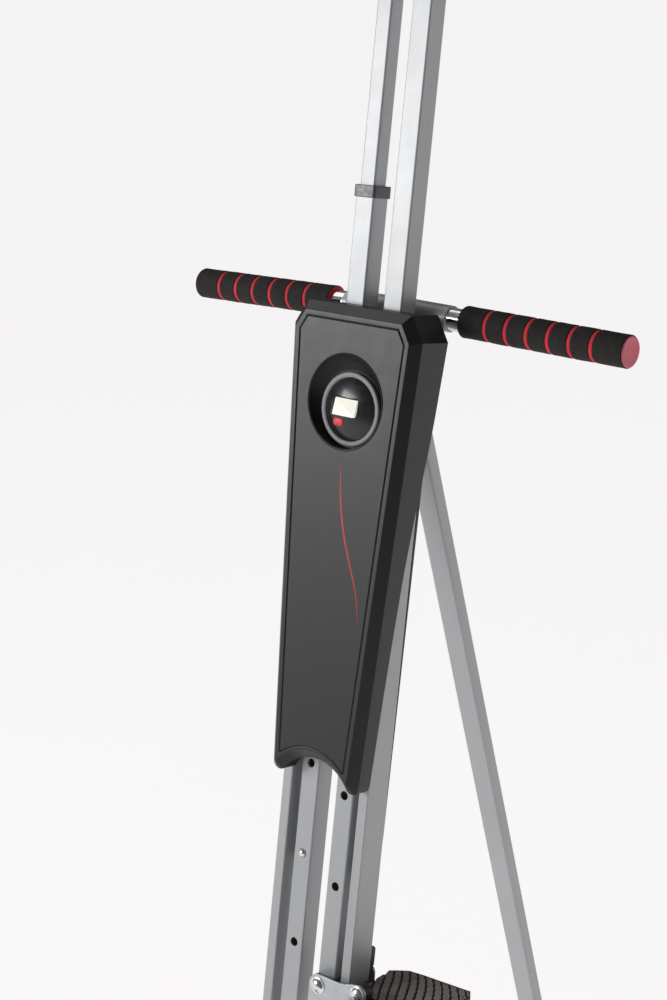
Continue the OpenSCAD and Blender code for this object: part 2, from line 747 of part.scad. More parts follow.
module left_belt() color("#181818") on_left() belt_strand();
module left_snap_button() color("white") on_left() snap_button();
module left_inner_post() color("silver") on_left() inner_post();
module left_top_handle() color("silver") on_left() top_bar();
module left_top_grip() color("#2c2c2c") on_left() top_grip();

// ---- Rear leg and strut ----
module rear_leg() {
    color("silver") leg_axes() difference() {
        union() {
            tube(leg_w, leg_d, wall, -leg_l, 14, 2);
            rod_x(hinge_r + 3, -leg_w / 2, leg_w / 2);
            both_sides() block([7, leg_d / 2 - 0.5, -strut_down - 17], [11, pin_y + 11, -strut_down + 14]);
        }
        rod_x(hinge_r + 0.06, -20, 20);
        translate([0, pin_y, -strut_down]) rotate([-slot_lean, 0, 0]) pin_slot();
        translate([0, 0, -leg_l + 14]) rod_x(strut_pin_r, -20, 20);
    }
}
// Slot for the strut's pin, open along z and wider at its mouth
module pin_slot() {
    slot_r = strut_pin_r + GAP;
    rod_x(slot_r, -12, 12);
    translate([-12, 0, 0]) rotate([90, 0, 90]) linear_extrude(24) polygon([
        [-slot_r, 0], [slot_r, 0], [slot_r + 5, 40], [-slot_r - 5, 40]
    ]);
}
module hinge_bolts() {
    color("gainsboro") column() {
        translate([0, hinge_y, hinge_s]) cross_bolt(hinge_r, ear_out, 8);
        translate([0, strut_y, strut_s]) cross_bolt(strut_pin_r, arm_in + arm_t, 8);
    }
}
// Bolt along x with a domed head and nut
module cross_bolt(r, half, head_r) {
    rod_x(r, -half, half);
    both_sides() translate([half, 0, 0]) rotate([0, 0, 90]) dome_y(head_r, head_r / 2);
}
leg_foot_y = hinge_wy + (hinge_wz - foot_top) * tan(leg_lean);
module rear_crossbar() {
    color("silver") difference() {
        union() {
            translate([0, leg_foot_y, 0]) crossbar(foot_w);
            both_sides() translate([leg_w / 2, leg_foot_y - 22, foot_top - 1]) cube([3, 40, 44]);
        }
        leg_axes() translate([0, 0, -leg_l + 14]) rod_x(strut_pin_r, -20, 20);
    }
}
module rear_foot_caps() color("#202020") translate([0, leg_foot_y, 0]) foot_caps(foot_w);
// Brace of two arms with a cross pin that drops into the leg's hooks
module strut() {
    color("silver") strut_axes() difference() {
        union() {
            both_sides() {
                block([arm_in, 0, -8], [arm_in + arm_t, strut_l, 8]);
                for (y = [0, strut_l]) translate([0, y, 0]) rod_x(8, arm_in, arm_in + arm_t);
            }
            translate([0, strut_l, 0]) rod_x(strut_pin_r, -arm_in - 1, arm_in + 1);
            translate([0, 70, 0]) rod_x(strut_pin_r, -arm_in - 1, arm_in + 1);
        }
        rod_x(strut_pin_r + 0.06, -20, 20);
    }
}
// Bolt that holds the rear crossbar's ears
module foot_bolt() {
    color("gainsboro") leg_axes() translate([0, 0, -leg_l + 14]) cross_bolt(strut_pin_r, leg_w / 2 + 3, 7);
}

right_rail();
left_rail();
top_bracket();
lower_bracket();
front_crossbar();
front_foot_caps();
front_foot_pad();
frame_bolts();
cross_tube();
handlebars();
grip_cores();
grip_foams();
handlebar_plugs();
upper_guides();
post_stops();
front_cover();
rear_cover();
cover_screws();
pulley_bracket();
pulley_axle();
pulley();
pulley_belt();
stroke_sensor();
console_dish();
console_ring();
console_case();
console_board();
console_battery();
console_lcd();
console_button();
right_post();
right_collar();
right_carriage();
right_carriage_bolts();
right_slider();
right_pedal_arm();
right_pedal();
right_belt();
right_snap_button();
right_inner_post();
right_top_handle();
right_top_grip();
left_post();
left_collar();
left_carriage();
left_carriage_bolts();
left_slider();
left_pedal_arm();
left_pedal();
left_belt();
left_snap_button();
left_inner_post();
left_top_handle();
left_top_grip();
rear_leg();
hinge_bolts();
rear_crossbar();
rear_foot_caps();
strut();
foot_bolt();
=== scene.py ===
"""Looks of the vertical climber: softened metal, moulded covers, foam grips, pedals and console."""
import json
import math

import bmesh
import bpy
from mathutils import Matrix, Vector, noise


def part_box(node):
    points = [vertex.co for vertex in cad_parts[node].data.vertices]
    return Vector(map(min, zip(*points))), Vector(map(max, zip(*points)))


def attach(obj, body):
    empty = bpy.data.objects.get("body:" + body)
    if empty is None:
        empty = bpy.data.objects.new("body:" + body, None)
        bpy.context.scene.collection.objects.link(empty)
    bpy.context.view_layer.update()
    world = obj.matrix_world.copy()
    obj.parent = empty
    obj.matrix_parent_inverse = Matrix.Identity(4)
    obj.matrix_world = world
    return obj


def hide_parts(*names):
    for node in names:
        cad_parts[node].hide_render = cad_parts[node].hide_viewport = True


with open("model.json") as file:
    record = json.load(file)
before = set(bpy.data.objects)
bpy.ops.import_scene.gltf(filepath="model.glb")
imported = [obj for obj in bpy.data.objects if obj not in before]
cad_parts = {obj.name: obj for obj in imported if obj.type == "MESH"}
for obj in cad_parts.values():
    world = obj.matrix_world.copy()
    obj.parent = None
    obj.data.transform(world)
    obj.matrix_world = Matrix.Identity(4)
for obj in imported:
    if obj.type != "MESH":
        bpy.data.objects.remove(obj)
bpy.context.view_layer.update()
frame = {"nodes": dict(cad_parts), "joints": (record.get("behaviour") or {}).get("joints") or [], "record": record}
record = frame["record"]
nodes = frame["nodes"]
MM = 0.001
BODY_OF = {n: body for body, members in record["behaviour"]["bodies"].items() for n in members}
SLOT_OF = {part["node"]: part["material_slot"] for part in record["subparts"]}
COLOUR = {m["slot"]: m["base_color"] for m in record["materials"]}

# ---- Camera ----
camera = bpy.data.objects.new("camera", bpy.data.cameras.new("camera"))
bpy.context.scene.collection.objects.link(camera)
camera.location = (1.3366, -1.4296, 1.6541)
camera.rotation_euler = [math.radians(a) for a in (73.625, 0, 41.133)]
camera.data.sensor_width = 36
camera.data.lens = 71.18
bpy.context.scene.camera = camera


# ---- Axes ----
def axes(origin, up):
    """Axes at origin with x across, y towards the back and z along up."""
    matrix = Matrix.Identity(4)
    for i, direction in enumerate(((1, 0, 0), (0, up.z, -up.y), up)):
        for j in range(3):
            matrix[j][i] = direction[j]
    matrix.translation = origin
    return matrix


def low_y(node, matrix):
    """How far forward the node reaches in the given axes."""
    inverse = matrix.inverted()
    return min((inverse @ v.co).y for v in nodes[node].data.vertices)


def joint_axis(name):
    return Vector(next(j["axis"] for j in frame["joints"] if j["name"] == name))


# The column's axes: x is 0 in the middle, y is 0 at the posts' front face and z is 0 at the handlebar
UP = joint_axis("right_post_slide").normalized()
bar_points = [v.co for v in nodes["cross_tube"].data.vertices]
bar_middle = min(abs(p.x) for p in bar_points)
bar_points = [p for p in bar_points if abs(p.x) < bar_middle + MM]
at_bar = axes([(min(p[i] for p in bar_points) + max(p[i] for p in bar_points)) / 2 for i in range(3)], UP)
COLUMN = at_bar @ Matrix.Translation((0, low_y("right_post", at_bar), 0))


def column_box(node):
    """Lowest and highest corner of a CAD node in the column's axes, in millimetres."""
    inverse = COLUMN.inverted()
    points = [inverse @ v.co for v in nodes[node].data.vertices]
    low = [min(p[i] for p in points) / MM for i in range(3)]
    high = [max(p[i] for p in points) / MM for i in range(3)]
    return low, high


# ---- Materials ----
def put(tree, kind, inputs=None, **settings):
    """A new node; an input is a value or a socket to link."""
    made = tree.nodes.new(kind)
    for key, value in settings.items():
        setattr(made, key, value)
    for key, value in (inputs or {}).items():
        if isinstance(value, bpy.types.NodeSocket):
            tree.links.new(value, made.inputs[key])
        else:
            made.inputs[key].default_value = value
    return made


def spread(tree, value, low, high, start=0.35, end=0.65):
    """Maps a value from start..end to low..high."""
    inputs = {0: value, 1: start, 2: end, 3: low, 4: high}
    return put(tree, "ShaderNodeMapRange", inputs, clamp=True).outputs[0]


def mixed(tree, factor, first, second):
    inputs = {0: factor, 6: first, 7: second}
    return put(tree, "ShaderNodeMix", inputs, data_type="RGBA").outputs[2]


def pattern(tree, kind, inputs, output="Fac", **settings):
    """Output of a texture that lies in the piece's own axes, in metres."""
    place = put(tree, "ShaderNodeTexCoord").outputs["Object"]
    return put(tree, kind, {"Vector": place, **inputs}, **settings).outputs[output]


def grain(tree, scale, detail=4):
    return pattern(tree, "ShaderNodeTexNoise", {"Scale": scale, "Detail": detail})


def bumped(tree, height, strength, depth, before=None):
    inputs = {"Height": height, "Strength": strength, "Distance": depth}
    if before is not None:
        inputs["Normal"] = before
    return put(tree, "ShaderNodeBump", inputs).outputs[0]


def tinted(colour, factor):
    return tuple(min(1, c * factor) for c in colour[:3]) + (1,)


def surface(slot, rough, tone=0.08, tone_scale=14, fine=900, fine_strength=0.15, fine_depth=0.0001,
            broad=None, wear=None, extra=None, shade=1, **sockets):
    """Material of a slot: its colour and gloss vary with noise, and its edges may be worn.

    rough is the lowest and highest roughness, broad the strength of a slow waviness, shade a factor
    on the colour, wear the factor on the colour along convex edges, and extra a function that adds
    a bump.
    """
    material = bpy.data.materials.new(slot)
    material.use_nodes = True
    tree = material.node_tree
    shader = tree.nodes["Principled BSDF"]
    for name, value in sockets.items():
        shader.inputs[name.replace("_", " ")].default_value = value
    base = tinted(COLOUR[slot], shade)
    tones = grain(tree, tone_scale, 5)
    colour = mixed(tree, spread(tree, tones, 0, 1), tinted(base, 1 - tone), tinted(base, 1 + tone))
    gloss = spread(tree, grain(tree, tone_scale * 4, 6), *rough)
    if wear:
        edge = put(tree, "ShaderNodeNewGeometry").outputs["Pointiness"]
        edge = spread(tree, edge, 0, 1, 0.52, 0.6)
        patchy = spread(tree, grain(tree, 90), 0, 0.8, 0.4, 0.6)
        worn = put(tree, "ShaderNodeMath", {0: edge, 1: patchy}, operation="MULTIPLY").outputs[0]
        colour = mixed(tree, worn, colour, tinted(base, wear))
    normal = bumped(tree, grain(tree, fine, 3), fine_strength, fine_depth)
    if broad:
        normal = bumped(tree, grain(tree, 18, 2), broad, 0.001, normal)
    if extra:
        normal = extra(tree, normal)
    tree.links.new(colour, shader.inputs["Base Color"])
    tree.links.new(gloss, shader.inputs["Roughness"])
    tree.links.new(normal, shader.inputs["Normal"])
    return material


def pores(tree, normal):
    height = pattern(tree, "ShaderNodeTexVoronoi", {"Scale": 900}, "Distance")
    return bumped(tree, height, 0.35, 0.0003, normal)


def moulded(tree, normal):
    height = pattern(tree, "ShaderNodeTexVoronoi", {"Scale": 1600}, "Distance")
    return bumped(tree, height, 0.12, 0.0001, normal)


def belt_ribs(tree, normal):
    height = pattern(tree, "ShaderNodeTexWave", {"Scale": 80}, bands_direction="Z")
    return bumped(tree, height, 0.5, 0.0006, normal)


SURFACES = {
    "silver_paint": surface("silver_paint", (0.38, 0.41), 0.02, 8, 700, 0.06, wear=1.1, shade=1.05,
                            Metallic=0.22),
    "bright_tube": surface("bright_tube", (0.12, 0.24), 0.04, 20, 1200, 0.05, Metallic=1.0),
    "bolt_steel": surface("bolt_steel", (0.16, 0.3), 0.06, 60, 1500, 0.1, wear=1.1, Metallic=1.0),
    "zinc_plate": surface("zinc_plate", (0.34, 0.5), 0.08, 40, 900, 0.15, wear=1.25, Metallic=0.75),
    "cover_plastic": surface("cover_plastic", (0.4, 0.43), 0.05, 16, 1100, 0.1, broad=0.02, extra=moulded,
                             wear=2.0, shade=0.2, Specular_IOR_Level=0.5),
    "grip_foam": surface("grip_foam", (0.75, 0.9), 0.16, 50, 600, 0.3, 0.0003, extra=pores, shade=0.8,
                         Specular_IOR_Level=0.25),
    "red_foam": surface("red_foam", (0.55, 0.75), 0.1, 50, 600, 0.2, 0.0002, extra=pores, shade=1.15,
                        Specular_IOR_Level=0.2),
    "red_plug": surface("red_plug", (0.35, 0.5), 0.06, 40, 900, 0.1),
    "pedal_plastic": surface("pedal_plastic", (0.5, 0.65), 0.1, 30, 800, 0.3, 0.0002, extra=moulded,
                             wear=1.3, shade=1.9, Specular_IOR_Level=0.4),
    "black_steel": surface("black_steel", (0.3, 0.42), 0.1, 20, 800, 0.12, wear=2.0),
    "black_nylon": surface("black_nylon", (0.42, 0.55), 0.1, 30, 900, 0.2, wear=1.5),
    "collar_plastic": surface("collar_plastic", (0.3, 0.42), 0.08, 40, 900, 0.12, wear=1.3),
    "belt_rubber": surface("belt_rubber", (0.6, 0.75), 0.12, 40, 900, 0.2, extra=belt_ribs),
    "console_gloss": surface("console_gloss", (0.24, 0.3), 0.1, 30, 200, 0.02, Coat_Weight=0.15),
    "ring_plastic": surface("ring_plastic", (0.42, 0.5), 0.03, 40, 900, 0.08, shade=1.15),
    "lcd": surface("lcd", (0.4, 0.5), 0.03, 60, 300, 0.01, Specular_IOR_Level=0.3),
    "red_button": surface("red_button", (0.4, 0.5), 0.05, 60, 300, 0.05, shade=1.4),
    "circuit_board": surface("circuit_board", (0.3, 0.45), 0.1, 60),
    "battery_metal": surface("battery_metal", (0.2, 0.35), 0.05, 60, Metallic=1.0),
    "rubber_foot": surface("rubber_foot", (0.6, 0.75), 0.14, 30, 700, 0.3, 0.0002, extra=moulded, wear=1.4),
}
# Painted light: a faint cream emission brightens the display, which has no lamp of its own
lcd_painted_glow = SURFACES["lcd"].node_tree.nodes["Principled BSDF"]
lcd_painted_glow.inputs["Emission Color"].default_value = (0.95, 0.93, 0.82, 1)
lcd_painted_glow.inputs["Emission Strength"].default_value = 0.5


def painted(name, slot, colour, **sockets):
    """A second colour of a slot's material."""
    material = SURFACES[slot].copy()
    material.name = name
    tree = material.node_tree
    shader = tree.nodes["Principled BSDF"]
    tone = mixed(tree, grain(tree, 60), tinted(colour, 0.9), tinted(colour, 1.1))
    tree.links.new(tone, shader.inputs["Base Color"])
    for key, value in sockets.items():
        shader.inputs[key.replace("_", " ")].default_value = value
    return material


STRIPE_RED = painted("stripe_red", "cover_plastic", (0.5, 0.012, 0.02))
DISH_BLACK = painted("dish_black", "cover_plastic", (0.008, 0.008, 0.008), Specular_IOR_Level=0.25)
RIM_BROWN = painted("pedal_rim", "pedal_plastic", (0.26, 0.13, 0.13))
# Painted shade: the pedal's base shows in the grooves between the treads and on its sides. It is a far darker copy
# of the tread plastic and stands in for the shade in the grooves
GROOVE_SHADE_BROWN = painted("pedal_groove_shade", "pedal_plastic", (0.045, 0.034, 0.036))
# Painted light: the digits keep a fainter share of the display's painted glow
DIGIT_GREY = painted("digit_grey", "lcd", (0.6, 0.62, 0.58), Emission_Strength=0.3)


# ---- Mesh tools ----
def apply_modifiers(piece):
    evaluated = piece.evaluated_get(bpy.context.evaluated_depsgraph_get())
    before = piece.data
    piece.data = bpy.data.meshes.new_from_object(evaluated)
    piece.modifiers.clear()
    bpy.data.meshes.remove(before)


def rounded_edges(piece, width, segments=2, angle=35):
    """Rounds the piece's sharp edges by width millimetres."""
    bevel = piece.modifiers.new("edges", "BEVEL")
    bevel.width = width * MM
    bevel.segments = segments
    bevel.limit_method = "ANGLE"
    bevel.angle_limit = math.radians(angle)
    bevel.use_clamp_overlap = False
    weighted = piece.modifiers.new("normals", "WEIGHTED_NORMAL")
    weighted.weight = 100
    weighted.keep_sharp = True
    apply_modifiers(piece)


def from_bmesh(name, mesh_in, place):
    bmesh.ops.recalc_face_normals(mesh_in, faces=mesh_in.faces)
    mesh = bpy.data.meshes.new(name)
    mesh_in.to_mesh(mesh)
    mesh_in.free()
    mesh.polygons.foreach_set("use_smooth", [True] * len(mesh.polygons))
    piece = bpy.data.objects.new(name, mesh)
    bpy.context.scene.collection.objects.link(piece)
    piece.matrix_world = place
    return piece


def from_lists(name, points, faces, place=COLUMN, sharp=35):
    """Piece from points in millimetres; edges sharper than an angle in degrees stay sharp."""
    shape = bmesh.new()
    made = [shape.verts.new(Vector(p) * MM) for p in points]
    for face in faces:
        shape.faces.new([made[i] for i in face])
    bmesh.ops.remove_doubles(shape, verts=shape.verts, dist=1e-6)
    piece = from_bmesh(name, shape, place)
    piece.data.set_sharp_from_angle(angle=math.radians(sharp))
    return piece


def dress(piece, body, slot, replaced=(), material=None):
    """Puts the piece on its body with its material, which is the slot's unless one is given, and hides the CAD
    nodes it stands for.
    """
    piece.data.materials.clear()
    piece.data.materials.append(material or SURFACES[slot])
    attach(piece, body)
    if replaced:
        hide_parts(*replaced)
    return piece


def turned(profile, steps=64, closed=False):
    """Points and faces of (along, radius) points turned about the x axis."""
    points, rings, faces = [], [], []
    for along, radius in profile:
        count = steps if radius > 1e-6 else 1
        rings.append(range(len(points), len(points) + count))
        for k in range(count):
            turn = 2 * math.pi * k / steps
            points.append((along, radius * math.cos(turn), radius * math.sin(turn)))
    pairs = list(zip(rings, rings[1:]))
    if closed:
        pairs.append((rings[-1], rings[0]))
    for a, b in pairs:
        for k in range(steps):
            n = (k + 1) % steps
            corners = [a[k % len(a)], a[n % len(a)], b[n % len(b)], b[k % len(b)]]
            face = list(dict.fromkeys(corners))
            if len(face) > 2:
                faces.append(face)
    return points, faces


def facing_user(points, centre):
    """Turns points made about the x axis to look towards the user, round a centre."""
    cx, cy, cz = centre
    return [(cx + p[1], cy - p[0], cz + p[2]) for p in points]


def joined(parts):
    """One list of points and faces from several."""
    points, faces = [], []
    for some_points, some_faces in parts:
        start = len(points)
        points += some_points
        faces += [[i + start for i in face] for face in some_faces]
    return points, faces


def strip_of_rings(rings, closed=True):
    """Faces between rings of the same number of points; closed joins the last ring to the first."""
    points = [p for ring in rings for p in ring]
    count = len(rings[0])
    faces = []
    for r in range(len(rings) if closed else len(rings) - 1):
        a, b = r * count, (r + 1) % len(rings) * count
        for k in range(count):
            n = (k + 1) % count
            faces.append([a + k, a + n, b + n, b + k])
    return points, faces


def arc(centre, radius, start, end, steps):
    """Points round a centre from a start angle to an end angle, in degrees."""
    angles = [math.radians(start + (end - start) * k / steps) for k in range(steps + 1)]
    return [(centre[0] + radius * math.cos(a), centre[1] + radius * math.sin(a)) for a in angles]


# ---- Softened CAD nodes ----
# These keep the frame's own axes, so that their bounding boxes aren't tilted with the column
LEVEL_NODES = {"front_crossbar", "front_foot_caps", "front_foot_pad", "lower_bracket", "rear_crossbar",
               "rear_foot_caps", "rear_leg", "foot_bolt", "strut"}


def softened(node, width):
    """The CAD node's own shape with its edges rounded."""
    shape = bmesh.new()
    shape.from_mesh(nodes[node].data)
    place = Matrix.Identity(4) if node in LEVEL_NODES else COLUMN
    bmesh.ops.transform(shape, matrix=place.inverted(), verts=shape.verts)
    bmesh.ops.remove_doubles(shape, verts=shape.verts, dist=2e-6)
    bmesh.ops.dissolve_limit(shape, angle_limit=math.radians(0.6), verts=shape.verts, edges=shape.edges)
    piece = from_bmesh(node + "_finish", shape, place)
    rounded_edges(piece, width)
    return dress(piece, BODY_OF[node], SLOT_OF[node], [node])


OWN_SHAPES = {"front_cover", "console_dish", "console_ring", "console_case", "console_lcd", "console_button",
              "grip_cores", "grip_foams", "handlebar_plugs"}
OWN_SHAPES |= {side + part for side in ("right_", "left_") for part in ("pedal", "top_grip")}
EDGE_WIDTHS = {"front_foot_caps": 2.5, "rear_foot_caps": 2.5, "front_foot_pad": 1.5, "rear_cover": 0.8,
               "right_slider": 1.2, "left_slider": 1.2, "right_pedal_arm": 1.2, "left_pedal_arm": 1.2,
               "right_carriage": 0.6, "left_carriage": 0.6, "right_collar": 0.8, "left_collar": 0.8,
               "right_snap_button": 0.3, "left_snap_button": 0.3, "console_battery": 0.3}
EDGE_WIDTH = 0.5
for node in sorted(nodes):
    if node not in OWN_SHAPES:
        softened(node, EDGE_WIDTHS.get(node, EDGE_WIDTH))

# ---- Front cover ----
FACE_Y = -32
BEVEL = 10
FACE_TOP, FACE_CORNER, FACE_LOW = -6.8, -26.4, -511
TOP_HALF, CORNER_HALF, LOW_HALF = 66.5, 78.6, 52.5
ARCH_Z, ARCH_R = -552.9, 66.6
LOBE_R = -0.5
COVER_WALL = 2.5
SIDE_STEPS = 18
# Where the arch begins along half of the outline
ARCH_START = SIDE_STEPS + 14
# The groove round the face: how far out and how deep
FACE_GROOVE = [(-7.2, 0), (-6.9, 1), (-5.9, 1), (-5.6, 0)]
# Depth of the rear edge by height, and where it is cut away round the posts
REAR_EDGE = [(-26, 21.5), (-115, 17.5), (-152, 14.5), (-174, 11.3), (-215, 8.3), (-275, 3.6), (-335, 1.5),
             (-395, -0.3), (-620, -3.4)]
REAR_MIDDLE_Y, REAR_ARCH_Y = -2, -5
OPENING_HALF = 62
DISH = (0, -98.5)
DISH_R = 52
CONSOLE = (1, -106.5)


def meeting(first, second):
    """Where two lines, each a point and a direction, cross."""
    (ax, az), (ux, uz) = first
    (bx, bz), (vx, vz) = second
    t = ((bx - ax) * vz - (bz - az) * vx) / (ux * vz - uz * vx)
    return ax + t * ux, az + t * uz


def edge_line(start, end, out):
    """The line through start and end, moved out to its left-hand side."""
    dx, dz = end[0] - start[0], end[1] - start[1]
    length = math.hypot(dx, dz)
    normal = (-dz / length, dx / length)
    return (start[0] + normal[0] * out, start[1] + normal[1] * out), (dx / length, dz / length)


def cover_ring(out):
    """Right half of the cover's outline moved out, from the top's middle to the arch's middle."""
    top = (0, FACE_TOP + out), (1, 0)
    chamfer = edge_line((TOP_HALF, FACE_TOP), (CORNER_HALF, FACE_CORNER), out)
    side = edge_line((CORNER_HALF, FACE_CORNER), (LOW_HALF, FACE_LOW), out)
    lobe_r = max(LOBE_R + out, 0.8)
    arch_r = ARCH_R - out * (1 if out > 0 else 0.6)
    # Middle of the lobe's round: lobe_r inside the side line and outside the arch
    (px, pz), (dx, dz) = edge_line((CORNER_HALF, FACE_CORNER), (LOW_HALF, FACE_LOW), out - lobe_r)
    b = px * dx + (pz - ARCH_Z) * dz
    c = px * px + (pz - ARCH_Z) ** 2 - (arch_r + lobe_r) ** 2
    t = -b - math.sqrt(b * b - c)
    lobe = px + t * dx, pz + t * dz
    turn_in = math.degrees(math.atan2(lobe[1] - ARCH_Z, lobe[0]))
    side_turn = math.degrees(math.atan2(dx, -dz))
    corner_top, corner_side = meeting(top, chamfer), meeting(chamfer, side)
    half = [(0, FACE_TOP + out), (OPENING_HALF, FACE_TOP + out), (OPENING_HALF + 1, FACE_TOP + out)]
    half += [corner_top, corner_side]
    low_side = (lobe[0] + lobe_r * math.cos(math.radians(side_turn)),
                lobe[1] + lobe_r * math.sin(math.radians(side_turn)))
    for k in range(1, SIDE_STEPS):
        half.append(tuple(a + (b - a) * k / SIDE_STEPS for a, b in zip(corner_side, low_side)))
    half += arc(lobe, lobe_r, side_turn, turn_in - 180, 9)
    half += arc((0, ARCH_Z), arch_r, turn_in, 90, 16)[1:]
    return half


def whole_ring(out, depth):
    """The outline moved out, at a depth that may vary along it; depth is a value or a function."""
    half = cover_ring(out)
    ring = half + [(-x, z) for x, z in half[-2:0:-1]]
    last = len(half) - 1
    full = []
    for k, (x, z) in enumerate(ring):
        place = k if k <= last else 2 * last - k
        full.append((x, depth(place, z) if callable(depth) else depth, z))
    return full


def rear_edge(place, z):
    """Depth of the cover's rear edge: cut away round the posts, curved down its sides."""
    if place < 2:
        return REAR_MIDDLE_Y
    if place > ARCH_START:
        return REAR_ARCH_Y
    for (z0, y0), (z1, y1) in zip(REAR_EDGE, REAR_EDGE[1:]):
        if z > z1:
            return y0 + (y1 - y0) * min(max((z - z0) / (z1 - z0), 0), 1)
    return REAR_EDGE[-1][1]


def fill_between(shape, outer, circle):
    """Flat face with a round hole, between a ring of vertices and a circle of them."""
    edges = []
    for loop in (outer, circle):
        for a, b in zip(loop, loop[1:] + loop[:1]):
            edges.append(shape.edges.get((a, b)) or shape.edges.new((a, b)))
    bmesh.ops.triangle_fill(shape, use_beauty=True, use_dissolve=False, edges=edges)


def front_cover():
    rings = [whole_ring(out, FACE_Y + deep) for out, deep in FACE_GROOVE]
    rings += [
        whole_ring(0, FACE_Y), whole_ring(BEVEL, FACE_Y + BEVEL),
        whole_ring(BEVEL, rear_edge), whole_ring(BEVEL - COVER_WALL, rear_edge),
        whole_ring(BEVEL - COVER_WALL, FACE_Y + BEVEL + 1), whole_ring(-1, FACE_Y + COVER_WALL),
    ]
    points, faces = strip_of_rings(rings, closed=False)
    shape = bmesh.new()
    made = [shape.verts.new(Vector(p) * MM) for p in points]
    for face in faces:
        shape.faces.new([made[i] for i in face])
    count = len(rings[0])
    hole = arc(DISH, DISH_R, 0, 360, 96)[:-1]
    circles = []
    for y in (FACE_Y, FACE_Y + COVER_WALL):
        circles.append([shape.verts.new(Vector((x, y, z)) * MM) for x, z in hole])
    fill_between(shape, made[:count], circles[0])
    fill_between(shape, made[-count:], circles[1])
    for k in range(len(hole)):
        n = (k + 1) % len(hole)
        shape.faces.new([circles[0][k], circles[0][n], circles[1][n], circles[1][k]])
    cover = from_bmesh("front_cover_shell", shape, COLUMN)
    rounded_edges(cover, 0.7, 2, 20)
    return dress(cover, "frame", "cover_plastic", ["front_cover"])


front_cover()


STRIPE = [(4, -167), (4.6, -182), (6.6, -199), (10.4, -218), (16.2, -239), (24, -260), (33.4, -282),
          (41.2, -303), (47, -332)]
STRIPE_STEPS = 48
STRIPE_END_HALF, STRIPE_SWELL = 0.12, 1.1


def smooth_curve(line, share):
    """Point and slope on a smooth curve through the line's points; share counts its lengths."""
    i = min(int(share), len(line) - 2)
    f = share - i
    before, after = line[max(i - 1, 0)], line[min(i + 2, len(line) - 1)]
    here, slope = [], []
    for a, b, c, d in zip(before, line[i], line[i + 1], after):
        square, cube = 2 * a - 5 * b + 4 * c - d, 3 * b - a - 3 * c + d
        here.append(0.5 * (2 * b + (c - a) * f + square * f * f + cube * f ** 3))
        slope.append(0.5 * (c - a + 2 * square * f + 3 * cube * f * f))
    return here, slope


def stripe():
    """Thin curved stripe on the cover's face, tapered to both ends."""
    front, back = FACE_Y - 0.12, FACE_Y + 0.2
    rings = []
    for k in range(STRIPE_STEPS + 1):
        (x, z), slope = smooth_curve(STRIPE, k / STRIPE_STEPS * (len(STRIPE) - 1))
        length = math.hypot(*slope)
        half = STRIPE_END_HALF + STRIPE_SWELL * math.sin(math.pi * k / STRIPE_STEPS) ** 0.8
        nx, nz = -slope[1] / length * half, slope[0] / length * half
        rings.append([(x - nx, back, z - nz), (x - nx, front, z - nz),
                      (x + nx, front, z + nz), (x + nx, back, z + nz)])
    points, faces = strip_of_rings(rings, closed=False)
    faces += [[3, 2, 1, 0], [len(points) - 4 + k for k in range(4)]]
    return dress(from_lists("cover_stripe", points, faces), "frame", "red_button", material=STRIPE_RED)


stripe()


# ---- Console ----
DISH_DEPTH = 12
BOWL_Y = FACE_Y + DISH_DEPTH


def console_dish():
    """Bowl whose round at the back is lower than the one at the face."""
    back_r, neck_r, under_y = 42, 30, BOWL_Y + 2

    def ring(share, y, grow=0):
        centre = [a + (b - a) * share for a, b in zip(DISH, CONSOLE)]
        radius = DISH_R + (back_r - DISH_R) * share + grow
        return [(x, y, z) for x, z in arc(centre, radius, 0, 360, 96)[:-1]]

    rings = [ring(0, FACE_Y + 0.6, 0), ring(0, FACE_Y - 0.05, -0.5), ring(0, FACE_Y + 0.1, -1.3),
             ring(0, FACE_Y + 0.9, -1.7)]
    steps = 14
    for k in range(1, steps + 1):
        share = k / steps
        wall = 1 - (1 - share) ** 1.6
        rings.append(ring(share, FACE_Y + 0.9 + (DISH_DEPTH - 0.9) * wall, -1.7 * (1 - share)))
    neck = arc(CONSOLE, neck_r, 0, 360, 96)[:-1]
    rings += [[(x, y, z) for x, z in neck] for y in (BOWL_Y, under_y)]
    rings += [ring(1, under_y, 1), ring(0.3, FACE_Y + 6, -0.2)]
    points, faces = strip_of_rings(rings)
    dish = from_lists("console_dish_bowl", points, faces, sharp=50)
    return dress(dish, "frame", "cover_plastic", ["console_dish"], DISH_BLACK)


def on_bowl(points):
    return facing_user(points, (CONSOLE[0], BOWL_Y, CONSOLE[1]))


def console_ring():
    profile = [(0, 34.2), (0, 40), (2.6, 40), (3.4, 39.8), (3.9, 39.2), (4.1, 38.3), (4.1, 36.2),
               (3.9, 35.4), (3.4, 34.6), (2, 34.2)]
    points, faces = turned(profile, 96, closed=True)
    ring = from_lists("console_ring_trim", on_bowl(points), faces, sharp=40)
    return dress(ring, "frame", "ring_plastic", ["console_ring"])


LCD = (0, -104)
LCD_HALF = (15.2, 9.2)
LCD_TILT = 0.21
BUTTON = (-9, -121)
BUTTON_HALF = (7.2, 4.6)
BALL_R, BALL_BACK, CASE_R = 78, 68, 34


def dome_height(x, z):
    """Height of the console's dome over the bowl's floor."""
    return math.sqrt(BALL_R ** 2 - (x - CONSOLE[0]) ** 2 - (z - CONSOLE[1]) ** 2) - BALL_BACK


def rounded_box(half, radius, centre, steps=6):
    """Outline of a rectangle with round corners."""
    outline = []
    for sx, sz, start in ((1, 1, 0), (-1, 1, 90), (-1, -1, 180), (1, -1, 270)):
        corner = centre[0] + sx * (half[0] - radius), centre[1] + sz * (half[1] - radius)
        outline += arc(corner, radius, start, start + 90, steps)
    return outline


